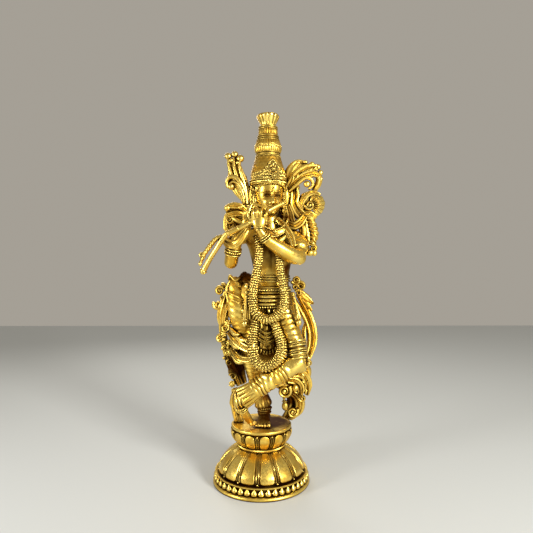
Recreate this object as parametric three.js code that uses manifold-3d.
// A cast brass flute-playing deity on a double lotus pedestal, as an assembly of its separate castings.
// Millimetres, +Z up, the figure faces -Y, +X is on the viewer's right.
// The origin is the centre of the pedestal's underside, on the surface that the statue stands on.

import * as THREE from "three";
import { mergeVertices } from "three/addons/utils/BufferGeometryUtils.js";
import Module from "manifold-3d";

const wasm = await Module();
wasm.setup();

// ---- driving dimensions ----
const HEIGHT = 460; // underside of the pedestal to the crown's tip
const BASE_RADIUS = 60.4; // foot of the pedestal
const RIM_TOP = 14.5; // top of the beaded rim
const WAIST_Z = 44; // where the lower lotus meets the upper one
const DECK_Z = 71; // surface that the feet stand on
const WALL = 3.2; // wall of the hollow castings
const BEADS = 44; // beads round the rim
const SKIRT_PETALS = 14; // petals of the lower lotus, which hang down
const SKIRT_TURN = -82; // the petal nearest the front, in degrees from +X
const CUP_PETALS = 13; // petals of the upper lotus, which stand up
const CUP_TURN = -83.6;
const GAP = 0.3; // clearance left between neighbouring castings
const CHORD = 0.12; // facets flatter than this are merged
const BOLT_X = 4; // the tie bolt stands under the weight-bearing ankle
const BOLT_RADIUS = 2.5; // M5
const HEAD = { x: 8.5, y: -1 }; // axis of the head and crown
const REACH = 79; // the flute's end and the fan are both this far from the axis

// ---- materials ----
const BRASS = new THREE.MeshStandardMaterial({ color: 0xc9a04a, roughness: 0.32, metalness: 1 });
const BRASS_WORN = new THREE.MeshStandardMaterial({ color: 0xe0bf6c, roughness: 0.24, metalness: 1 });
const STEEL = new THREE.MeshStandardMaterial({ color: 0x9a9a98, roughness: 0.4, metalness: 1 });

// ---- solids from three.js geometry ----

// A closed geometry as a solid, with its faces turned outwards.
function solidOf(geometry) {
  const bare = geometry.index ? geometry.toNonIndexed() : geometry.clone();
  for (const name of ["normal", "uv"]) bare.deleteAttribute(name);
  const merged = mergeVertices(bare, 1e-4);
  const index = merged.index.array;
  const faces = [];
  for (let i = 0; i < index.length; i += 3) {
    const [a, b, c] = index.slice(i, i + 3);
    if (a !== b && b !== c && c !== a) faces.push(a, b, c);
  }
  const build = (order) =>
    new wasm.Manifold(
      new wasm.Mesh({
        numProp: 3,
        vertProperties: merged.attributes.position.array,
        triVerts: Uint32Array.from(order),
      })
    );
  const made = build(faces);
  return made.volume() > 0 ? made : build(faces.reverse());
}

function geometryOf(solid) {
  const mesh = solid.getMesh();
  const geometry = new THREE.BufferGeometry();
  geometry.setAttribute("position", new THREE.BufferAttribute(mesh.vertProperties, 3));
  geometry.setIndex(new THREE.BufferAttribute(mesh.triVerts, 1));
  geometry.computeVertexNormals();
  return geometry;
}

// Each shape below is a function of grow, the millimetres that it is made fatter by. A neighbour is cut
// with the grown shape, which leaves the clearance between the two.

// A round turned on the Z axis through (x, y), from a profile of [radius, height] pairs.
function turned(profile, segments = 16, x = 0, y = 0) {
  return (grow) => {
    const middle = profile.reduce((sum, p) => sum + p[1], 0) / profile.length;
    const points = profile.map(
      ([r, z]) => new THREE.Vector2(r === 0 ? 0 : r + grow, z + Math.sign(z - middle) * grow)
    );
    const geometry = new THREE.LatheGeometry(points, segments);
    return solidOf(geometry.rotateX(Math.PI / 2).translate(x, y, 0));
  };
}

// A hollow ring or shell turned on the Z axis, from a closed profile. It isn't grown.
function ringShell(profile, segments = 28) {
  return () => {
    const points = [...profile, profile[0]].map(([r, z]) => new THREE.Vector2(r, z));
    return solidOf(new THREE.LatheGeometry(points, segments).rotateX(Math.PI / 2));
  };
}

// A lotus shell: a ring shell whose outside falls in by depth between one petal's ridge and the next.
// turn is where the first ridge stands, in degrees from +X.
function lotusShell(profile, petals, depth, isOutside, turn) {
  return () => {
    const points = [...profile, profile[0]].map(([r, z]) => new THREE.Vector2(r, z));
    const geometry = new THREE.LatheGeometry(points, petals * 2).rotateX(Math.PI / 2);
    const place = geometry.getAttribute("position");
    for (let i = 0; i < place.count; i++) {
      const isValley = Math.floor(i / points.length) % 2 === 1;
      if (!isValley || !isOutside(profile[i % points.length] ?? profile[0])) continue;
      const radius = Math.hypot(place.getX(i), place.getY(i));
      const scale = (radius - depth) / radius;
      place.setXY(i, place.getX(i) * scale, place.getY(i) * scale);
    }
    const ridge = THREE.MathUtils.degToRad(turn - 90);
    return solidOf(geometry.rotateZ(ridge));
  };
}

// A limb from a to b with its radii spaced evenly along it. depth squeezes it from front to back.
function limb(a, b, radii, depth = 1, segments = 8) {
  return (grow) => {
    const from = new THREE.Vector3(...a);
    const along = new THREE.Vector3(...b).sub(from);
    const length = along.length();
    const last = radii.length - 1;
    const points = [new THREE.Vector2(0, -grow)];
    radii.forEach((r, i) => {
      const end = i === 0 ? -grow : i === last ? grow : 0;
      points.push(new THREE.Vector2(r + grow, (length * i) / last + end));
    });
    points.push(new THREE.Vector2(0, length + grow));
    const geometry = new THREE.LatheGeometry(points, segments);
    const turn = new THREE.Quaternion().setFromUnitVectors(
      new THREE.Vector3(0, 1, 0),
      along.normalize()
    );
    geometry.applyQuaternion(turn).scale(1, depth, 1);
    return solidOf(geometry.translate(from.x, from.y, from.z));
  };
}

// A ball or egg. tilt turns it about the Y axis, in degrees.
function egg(centre, radii, tilt = 0, segments = 8) {
  return (grow) => {
    const geometry = new THREE.SphereGeometry(1, segments, Math.round(segments * 0.6));
    geometry.rotateX(Math.PI / 2).scale(...radii.map((r) => r + grow));
    geometry.rotateY(THREE.MathUtils.degToRad(tilt));
    return solidOf(geometry.translate(...centre));
  };
}

const ball = (centre, radius, segments = 6) => egg(centre, [radius, radius, radius], 0, segments);

// A round bar along a smooth curve through the points.
function bar(points, radius, steps = points.length + 1, sides = 6) {
  return (grow) => {
    const curve = new THREE.CatmullRomCurve3(points.map((p) => new THREE.Vector3(...p)));
    const section = new THREE.Shape();
    section.absarc(0, 0, radius + grow, 0, Math.PI * 2);
    const options = { steps, extrudePath: curve, curveSegments: sides / 2, bevelEnabled: false };
    return solidOf(new THREE.ExtrudeGeometry(section, options));
  };
}

// A flat band of metal round a limb: a torus about an axis through centre.
function hoop(centre, axis, radius, thickness, squeeze = [1, 1, 1], segments = 12) {
  return (grow) => {
    const geometry = new THREE.TorusGeometry(radius, thickness + grow, 4, segments);
    const turn = new THREE.Quaternion().setFromUnitVectors(
      new THREE.Vector3(0, 0, 1),
      new THREE.Vector3(...axis).normalize()
    );
    return solidOf(geometry.applyQuaternion(turn).scale(...squeeze).translate(...centre));
  };
}

// A plate cut to an outline of [x, z] pairs, from y = front to y = back.
function plate(outline, front, back) {
  return (grow) => {
    const points = outline.map(([x, z]) => new THREE.Vector2(x, z));
    const outwards = Math.sign(THREE.ShapeUtils.area(points));
    const grown = points.map((p, i) => {
      const before = points.at(i - 1);
      const after = points[(i + 1) % points.length];
      const side = new THREE.Vector2(after.y - before.y, before.x - after.x);
      return side.setLength(1.3 * grow * outwards).add(p);
    });
    const depth = back - front + 2 * grow;
    const options = { depth, bevelEnabled: false };
    const geometry = new THREE.ExtrudeGeometry(new THREE.Shape(grown), options);
    return solidOf(geometry.rotateX(Math.PI / 2).translate(0, back + grow, 0));
  };
}

// A ring whose outside is a row of round beads.
function scallopedRing(beads, inner, hollow, outer, bottom, top) {
  return () => {
    const section = new THREE.Shape();
    const spot = (radius, turn) => {
      const angle = (2 * Math.PI * turn) / beads;
      return [radius * Math.cos(angle), radius * Math.sin(angle)];
    };
    section.moveTo(...spot(hollow, 0));
    for (let i = 0; i < beads; i++) {
      section.lineTo(...spot(outer, i + 0.3));
      section.lineTo(...spot(outer, i + 0.7));
      section.lineTo(...spot(hollow, i + 1));
    }
    const bore = new THREE.Path();
    bore.absarc(0, 0, inner, 0, Math.PI * 2, true);
    section.holes.push(bore);
    const options = { depth: top - bottom, bevelEnabled: false, curveSegments: 16 };
    return solidOf(new THREE.ExtrudeGeometry(section, options).translate(0, 0, bottom));
  };
}

// A hexagonal or round bar standing on the Z axis through (x, 0).
function post(x, radius, bottom, top, sides = 16) {
  return (grow) => {
    const geometry = new THREE.CylinderGeometry(radius + grow, radius + grow, 1, sides);
    geometry.rotateX(Math.PI / 2).scale(1, 1, top - bottom + 2 * grow);
    return solidOf(geometry.translate(x, 0, (top + bottom) / 2));
  };
}

const joined = (...shapes) => (grow) =>
  shapes.map((shape) => shape(grow)).reduce((whole, piece) => whole.add(piece));

const drilled = (shape, hole) => (grow) => shape(grow).subtract(hole(0));

// ---- the list of castings ----
// Thin ornaments come first and keep their whole shape; the thicker castings after them are cut to suit.
const castings = [];
const cast = (name, material, ...shapes) =>
  castings.push({ name, material, shape: joined(...shapes) });

// -- pedestal --

function makePedestal() {
  const boltHole = post(BOLT_X, BOLT_RADIUS + 0.5, 30, DECK_Z + 5);
  const rimInner = 48;
  cast(
    "pedestal_rim",
    BRASS,
    ringShell([
      [rimInner, 0],
      [BASE_RADIUS, 0],
      [BASE_RADIUS, 4],
      [57.2, 4.8],
      [55.6, 5],
      [55.6, 13],
      [57.6, 13.3],
      [57.6, RIM_TOP],
      [rimInner, RIM_TOP],
    ])
  );
  cast("rim_beads", BRASS, scallopedRing(BEADS, 56, 57.6, 59.8, 5.4, 12.8));
  const skirtFoot = 54;
  const neck = 30;
  const skirtBottom = RIM_TOP + GAP;
  const skirtTop = WAIST_Z - 0.3;
  const skirt = [
    [skirtFoot - WALL, skirtBottom],
    [skirtFoot, skirtBottom],
    [skirtFoot - 0.4, 17],
    [skirtFoot - 1, 20],
    [50.4, 26],
    [45, 33],
    [38.5, 39.5],
    [neck, skirtTop],
    [0, skirtTop],
    [0, skirtTop - 4],
    [neck - WALL, skirtTop - 4],
    [39.6, 32],
    [45.6, 24],
    [49.2, 17],
  ];
  const skirtFace = skirt.slice(2, 7);
  const isSkirtFace = (point) => skirtFace.includes(point);
  cast(
    "lotus_skirt",
    BRASS,
    drilled(lotusShell(skirt, SKIRT_PETALS, 3.4, isSkirtFace, SKIRT_TURN), boltHole)
  );
  cast("waist_ring", BRASS, ringShell([[20, 44], [29.4, 44], [30.6, 45.5], [29.4, 47], [20, 47]]));
  const cupRim = 37.6;
  const cup = [
    [0, 47.3],
    [28.6, 47.3],
    [32.6, 50],
    [36.8, 55],
    [39.4, 60.5],
    [39, 64.5],
    [cupRim, 66.5],
    [cupRim - WALL, 66.5],
    [cupRim - WALL, 63],
    [28, 52],
    [0, 52],
  ];
  const cupFace = cup.slice(3, 7);
  const isCupFace = (point) => cupFace.includes(point);
  cast(
    "lotus_cup",
    BRASS,
    drilled(lotusShell(cup, CUP_PETALS, 3, isCupFace, CUP_TURN), boltHole)
  );
  cast(
    "deck_plate",
    BRASS,
    drilled(
      ringShell([
        [0, 64],
        [34, 64],
        [34, 66.8],
        [37.6, 66.8],
        [38, 69],
        [36, DECK_Z],
        [0, DECK_Z],
      ]),
      boltHole
    )
  );
  const washerTop = WAIST_Z - 4.6;
  const headTop = washerTop - 1.4;
  cast(
    "tie_bolt",
    STEEL,
    post(BOLT_X, 4.6, headTop - 4, headTop, 6),
    post(BOLT_X, BOLT_RADIUS, headTop - 1, DECK_Z + 11)
  );
  cast("tie_washer", STEEL, drilled(post(BOLT_X, 7.5, headTop + 0.3, washerTop), boltHole));
}

// -- flute and garlands --

function makeFluteAndGarlands() {
  const bend = [-41.5, -40, 305];
  const tip = [-REACH + 9, -27, 261.5];
  cast(
    "flute",
    BRASS_WORN,
    bar([[26, -31, 344], [9, -35, 333], [-8, -39, 322.5], [-26, -41, 313], bend], 2.7, 10),
    bar([[-38, -40, 307], bend, [-52, -36, 289], [-62, -32, 273], tip], 2.9, 6),
    ball(tip, 3.3)
  );
  cast(
    "flute_tassel",
    BRASS,
    bar([[-50, -34, 299], [-60, -31, 290], [-69, -28, 280], [-74, -26, 270]], 2.6, 5),
    ball([-REACH + 4, -27, 277], 4)
  );
  cast(
    "upper_garland",
    BRASS_WORN,
    bar(
      [
        [-4, -25, 297],
        [-1, -26, 276],
        [-5, -27, 252],
        [-9.5, -29, 233],
        [-10, -32, 219],
        [-3, -34, 208.5],
        [10, -35, 204.5],
        [22.5, -34, 210],
        [29, -32, 221],
        [27.5, -29, 238],
        [23, -27, 259],
        [22, -25, 270],
      ],
      4.6,
      24
    )
  );
  cast(
    "lower_garland",
    BRASS_WORN,
    bar(
      [
        [-5.5, -29, 202],
        [-9.5, -32, 187],
        [-10.5, -36, 175],
        [-6.5, -39, 162.5],
        [5.5, -41, 154.5],
        [18, -39, 158],
        [24.5, -37, 169],
        [22.5, -34, 181],
        [18, -31, 194],
        [16, -29, 203],
      ],
      4.8,
      18
    )
  );
}

// -- jewellery --

function makeJewellery() {
  cast(
    "collar",
    BRASS,
    hoop([14, -4, 314], [0, -0.5, 1], 14, 2.2, [1.1, 1, 1]),
    egg([17, -19, 306.5], [4.4, 3, 4.4], 0, 10)
  );
  cast("waist_belt", BRASS, hoop([10, -1, 236], [0, 0, 1], 27, 2.4, [1, 0.82, 1.3]));
  cast("right_armlet", BRASS, hoop([-34.5, -18.5, 285.5], [0.2, -0.33, 1], 8.8, 1.6));
  cast("left_bracelet", BRASS, hoop([6.6, -41.4, 296.4], [-0.75, -0.2, 0.5], 5.8, 1.8));
  cast(
    "thigh_bands",
    BRASS,
    hoop([42.6, -27.5, 166], [-0.25, 0.3, 1], 11.2, 1.5),
    hoop([43, -29, 161.5], [-0.25, 0.3, 1], 11.4, 1.5),
    hoop([43.4, -30, 157], [-0.25, 0.3, 1], 11.4, 1.5),
    bar([[52, -34, 169], [53.4, -37, 162], [54, -38, 155]], 1.4, 4)
  );
}

// -- crown --

function makeCrown() {
  const { x, y } = HEAD;
  cast(
    "crown_finial",
    BRASS_WORN,
    turned(
      [[0, 443.4], [9.6, 443.4], [11, 448], [14, 455], [13.4, 459], [11, HEIGHT], [0, HEIGHT]],
      14,
      x,
      y
    )
  );
  cast(
    "crown_tower",
    BRASS,
    turned(
      [
        [0, 407.4],
        [15.4, 407.4],
        [17.4, 412],
        [17.6, 417],
        [16.6, 422],
        [14.4, 427.4],
        [13.4, 431],
        [12.2, 433],
        [11.6, 438],
        [12.4, 441.5],
        [12, 443],
        [0, 443],
      ],
      16,
      x,
      y
    )
  );
  const crest = [[-8, 372], [-10, 386], [1, 392], [9, 403], [17, 398], [25, 387], [24, 372]];
  cast(
    "tiara",
    BRASS,
    hoop([x, y, 376.5], [0, -0.12, 1], 21.4, 2.8, [1, 1, 1.6]),
    plate(crest, -25.5, -21)
  );
  cast(
    "crown_dome",
    BRASS,
    turned([[0, 379], [22.2, 379], [21.8, 387], [19, 396], [16.6, 403], [16, 407], [0, 407]], 16, x, y)
  );
}

// -- ornaments that stand out from the figure --

function makeOrnaments() {
  cast(
    "left_plume",
    BRASS_WORN,
    plate(
      [
        [-16.5, 340],
        [-18, 356],
        [-22, 372],
        [-27, 388],
        [-26, 402],
        [-35, 406],
        [-43, 403],
        [-42, 391],
        [-35, 381],
        [-27, 368],
        [-22, 350],
        [-21, 340],
      ],
      -4,
      3
    ),
    ball([-41.5, 0, 408], 4),
    ball([-33.4, 0, 409.8], 4),
    ball([-26.6, 0, 403.2], 4.4),
    bar([[-24, 0, 361], [-29, 0, 373], [-37, 0, 377], [-43.4, 0, 372], [-41.4, 0, 366]], 2.2, 7),
    ball([-38.6, 0, 369.4], 3.6)
  );
  cast(
    "right_plume",
    BRASS_WORN,
    plate(
      [
        [31, 371], [37, 386], [41, 397.5], [54, 396.5], [66, 393], [71, 386], [67, 379], [56, 382],
        [45, 376], [36, 366],
      ],
      -7,
      0
    ),
    bar([[38, -4, 371], [48, -5, 378], [57, -5, 378.5], [61, -5, 373], [56, -5, 369]], 2, 7),
    ball([55.6, -5, 373.5], 3),
    bar([[66, -3, 381], [68, -3, 371], [65, -3, 362], [59, -3, 363]], 2.6, 5)
  );
  cast(
    "right_scarf",
    BRASS_WORN,
    bar([[38, 3, 371], [41, 2, 358], [42, 1, 347], [49, 0, 337], [57, -1, 329], [61, -1, 316]], 3.4, 8)
  );
  cast(
    "right_fan",
    BRASS_WORN,
    plate(
      [[53, 340], [56, 350], [63, 358.5], [74, 359], [REACH, 354], [78, 345], [71, 336], [63, 333]],
      -9,
      -2.8
    )
  );
  cast(
    "right_tassel",
    BRASS,
    limb([62, -2, 330], [66, -2, 303], [4.6, 5.4, 4.6], 0.9, 8),
    limb([66, -2, 303], [60, -2, 284], [4.6, 5.6, 6], 0.9, 8)
  );
  cast(
    "left_shoulder_bow",
    BRASS_WORN,
    limb([-41, -3, 338], [-21, -2, 340], [4.6, 5.2, 4.4], 0.9, 8),
    ball([-41, -4, 338.6], 5),
    bar([[-38, -3, 337], [-42, -3, 330], [-37, -4, 326], [-28, -4, 327]], 2.8, 8),
    bar([[-40, -2, 329], [-42.5, -2, 322], [-41, -2, 314]], 3, 6)
  );
  cast(
    "arm_scarf",
    BRASS_WORN,
    bar([[-13, -34, 316], [-19, -35, 304], [-27, -33.5, 293.5], [-36, -30, 293], [-44.5, -20, 297]], 1.9, 7)
  );
}

// -- scarf ends, sashes and ribbons round the legs --

function makeSashes() {
  cast(
    "left_hip_scroll",
    BRASS,
    ball([-53, 1, 237.6], 6.4),
    bar([[-53, 1, 238], [-46, 0, 242], [-42, 0, 236]], 2.4, 6),
    ball([-54.6, 1, 218.6], 5),
    bar(
      [[-55, 1, 221], [-53, 1, 210], [-49, 1, 204], [-48.5, 1, 214], [-46, 0, 224], [-44, 0, 233]],
      2.2,
      8
    )
  );
  cast(
    "left_ribbon",
    BRASS,
    bar(
      [
        [-45, 5, 226], [-47, 5.5, 210], [-47, 6, 194], [-46, 6, 178], [-44, 5, 164], [-40, 4, 148],
        [-34, 3, 132], [-29, 1, 119],
      ],
      3,
      11
    ),
    ball([-45.5, 3, 182], 5),
    ball([-42.6, 3, 166], 4.4),
    ball([-35, 2, 131], 3.6)
  );
  cast(
    "upper_swag",
    BRASS_WORN,
    bar([[-38, -6, 184], [-30, -17, 175.5], [-20, -24, 169], [-13, -28, 169.5]], 2.9, 5)
  );
  cast(
    "lower_swag",
    BRASS_WORN,
    bar([[-34, -6, 168], [-29, -16, 159.5], [-20, -23, 155.5], [-11, -27, 160]], 2.7, 5)
  );
  cast(
    "left_waist_tassel",
    BRASS_WORN,
    ball([-17.5, -24, 241], 5),
    limb([-17.5, -24, 239], [-18, -22, 212], [2.6, 3.4, 3.8], 0.9, 8),
    limb([-18, -22, 212], [-18.5, -21, 198], [3.8, 4.6, 4.2], 0.9, 8)
  );
  cast(
    "right_waist_tassel",
    BRASS_WORN,
    ball([37.5, -20, 234], 4.4),
    limb([37.5, -20, 234], [43, -29, 202], [3, 3.8, 4.4], 0.9, 8)
  );
  cast(
    "right_hip_scroll",
    BRASS,
    egg([44, -3, 246], [7.6, 5, 8.4], 20, 12),
    bar([[42, -4, 242], [50, -5, 232], [57, -4, 224], [63.5, -3, 221]], 2.8, 8)
  );
  cast(
    "right_ribbon",
    BRASS,
    bar(
      [
        [47, -4, 230], [55, -3, 217], [62, -3, 201], [65, -4, 184], [63.6, -6, 168], [58, -9, 156],
        [57, -12, 150],
      ],
      3.1,
      9
    ),
    ball([59.4, -12, 149.5], 4.4)
  );
  cast(
    "lower_right_scroll",
    BRASS,
    bar([[56, -11, 143], [57, -7, 136], [55, -7, 130]], 2.2, 6),
    ball([55.4, -7, 129.6], 4.4),
    bar(
      [[54, -6, 128], [52, -6, 116], [46, -6, 110], [40, -7, 115], [31, -10, 116], [26, -10, 112]],
      3.4,
      9
    ),
    egg([47, -8, 119], [6.4, 4.6, 5.6], 0, 12),
    bar([[46, -6, 112], [47.6, -3, 98], [45, 0, 84], [39, -2, 81]], 2.8, 5),
    limb([37, -8, 113], [29, -8, 92], [2.4, 4, 3.6], 0.9, 8)
  );
  cast(
    "lower_left_drape",
    BRASS,
    bar([[-31, -4, 114], [-32.5, -1, 101], [-31.5, 2, 87], [-28, 3, 77.5]], 3.8, 5)
  );
  cast("front_pleats", BRASS, limb([6, -15, 228], [6.5, -20, 162], [7, 7.5, 9.5], 0.7, 12));
}

// -- the figure itself --

function makeFigure() {
  const { x, y } = HEAD;
  cast(
    "left_hand",
    BRASS_WORN,
    egg([-2, -46.5, 317], [7.4, 4, 9.6], 10, 12),
    bar([[-9, -45, 322], [-10.5, -45, 335], [-8, -44, 342], [2, -43, 336], [5, -44, 331]], 1.8, 6)
  );
  cast("right_hand", BRASS, egg([-16, -33, 325], [6, 4.4, 9], -20, 12));
  cast(
    "left_forearm",
    BRASS_WORN,
    limb([42, -23, 276], [14, -38, 289], [9.5, 9.6, 8.2], 1),
    limb([14, -38, 289], [2, -43, 300], [8.2, 5.4, 4.4], 1),
    ball([43, -22, 276], 9.6, 8)
  );
  cast(
    "right_forearm",
    BRASS_WORN,
    limb([-36, -15, 270], [-30, -25, 299], [7.6, 8.4, 6.8], 1),
    limb([-30, -25, 299], [-20, -32, 314.5], [6.8, 5.2, 4.4], 1),
    ball([-36.4, -13.5, 269.5], 7.8, 8)
  );
  cast(
    "left_upper_arm",
    BRASS_WORN,
    limb([43, -1, 303], [43.5, -18, 276], [9.4, 10, 9.4], 1),
    ball([43, -1, 304], 9.6, 8)
  );
  cast(
    "right_upper_arm",
    BRASS,
    limb([-28, 1, 303], [-36, -5, 271], [8.4, 8, 7.4], 1),
    ball([-28, 1, 304], 9, 8)
  );
  cast(
    "crossed_foot",
    BRASS_WORN,
    limb([-23.5, -30, 106], [-17, -22, 85], [5.4, 5.6, 4.6], 1, 10),
    egg([-12.5, -18.5, 79.4], [5.6, 4.6, 5], 30, 12)
  );
  cast(
    "crossed_shin",
    BRASS_WORN,
    limb([43, -31, 151], [-8, -37, 121], [11.2, 10.4, 10, 9.4], 1),
    limb([-9, -37, 120.5], [-26, -33, 107], [9.6, 11.4, 10.4], 1),
    ball([42.6, -30, 150.6], 11.2, 8)
  );
  cast("crossed_thigh", BRASS_WORN, limb([25, -8, 224], [43, -28, 155], [15, 11.6, 10.8, 10.8], 1, 10));
  cast(
    "standing_foot",
    BRASS,
    egg([3.4, -7, 77.6], [8, 14, 6.6], 0, 12),
    limb([4, 1, 76], [4, 0, 90], [7.2, 6.4], 1)
  );
  cast(
    "standing_leg",
    BRASS,
    limb([4, 0, 90.4], [-7, 0, 150], [6.4, 8.4, 10.4], 1),
    limb([-7, 0, 148], [-22, -1, 226], [10.4, 13.4, 17.4], 1, 10)
  );
  cast("hip_drape", BRASS, limb([-31, -3, 260], [-28, -4, 208], [8, 13.4, 15, 13, 10], 0.9, 12));
  cast("pelvis", BRASS, egg([-1, 0, 229], [40, 19, 20], 0, 12));
  cast("head", BRASS_WORN, egg([x + 1, y - 3, 352], [18, 20, 25], 0, 12));
  cast("neck", BRASS_WORN, limb([12, -1, 300], [10.5, -2, 334], [10.4, 9.6, 9.6], 1));
  cast(
    "hair",
    BRASS,
    egg([x + 1, 9, 349], [23, 12, 27], 0, 10),
    limb([31, 2, 360], [34, 4, 318], [5, 6.4, 5], 1, 8),
    limb([-11, 4, 366], [-13.6, 4, 322], [5, 6, 5], 1, 8),
    limb([10, 14, 330], [12, 17, 262], [17, 15, 9], 0.6, 8)
  );
  cast(
    "torso",
    BRASS,
    limb([11, 0, 240], [9, 0, 308], [25, 23.6, 27, 29, 21], 0.68, 12),
    limb([-22, 0, 303], [38, 0, 304], [9, 10.4, 9], 1)
  );
}

// ---- assembly ----

// The largest piece of a casting, after its neighbours have been cut away from it.
function largest(solid) {
  return solid.decompose().sort((a, b) => b.volume() - a.volume())[0];
}

function overlaps(a, b) {
  return [0, 1, 2].every((i) => a.min[i] < b.max[i] && b.min[i] < a.max[i]);
}

makePedestal();
makeFluteAndGarlands();
makeJewellery();
makeCrown();
makeOrnaments();
makeSashes();
makeFigure();

const statue = new THREE.Group();
statue.name = "statue";
const placed = [];
for (const { name, material, shape } of castings) {
  let solid = shape(0);
  for (const neighbour of placed) {
    if (overlaps(solid.boundingBox(), neighbour.boundingBox())) solid = solid.subtract(neighbour);
  }
  const kept = largest(solid.simplify(CHORD));
  const mesh = new THREE.Mesh(geometryOf(kept), material);
  mesh.name = name;
  statue.add(mesh);
  placed.push(shape(GAP));
}

export default statue;
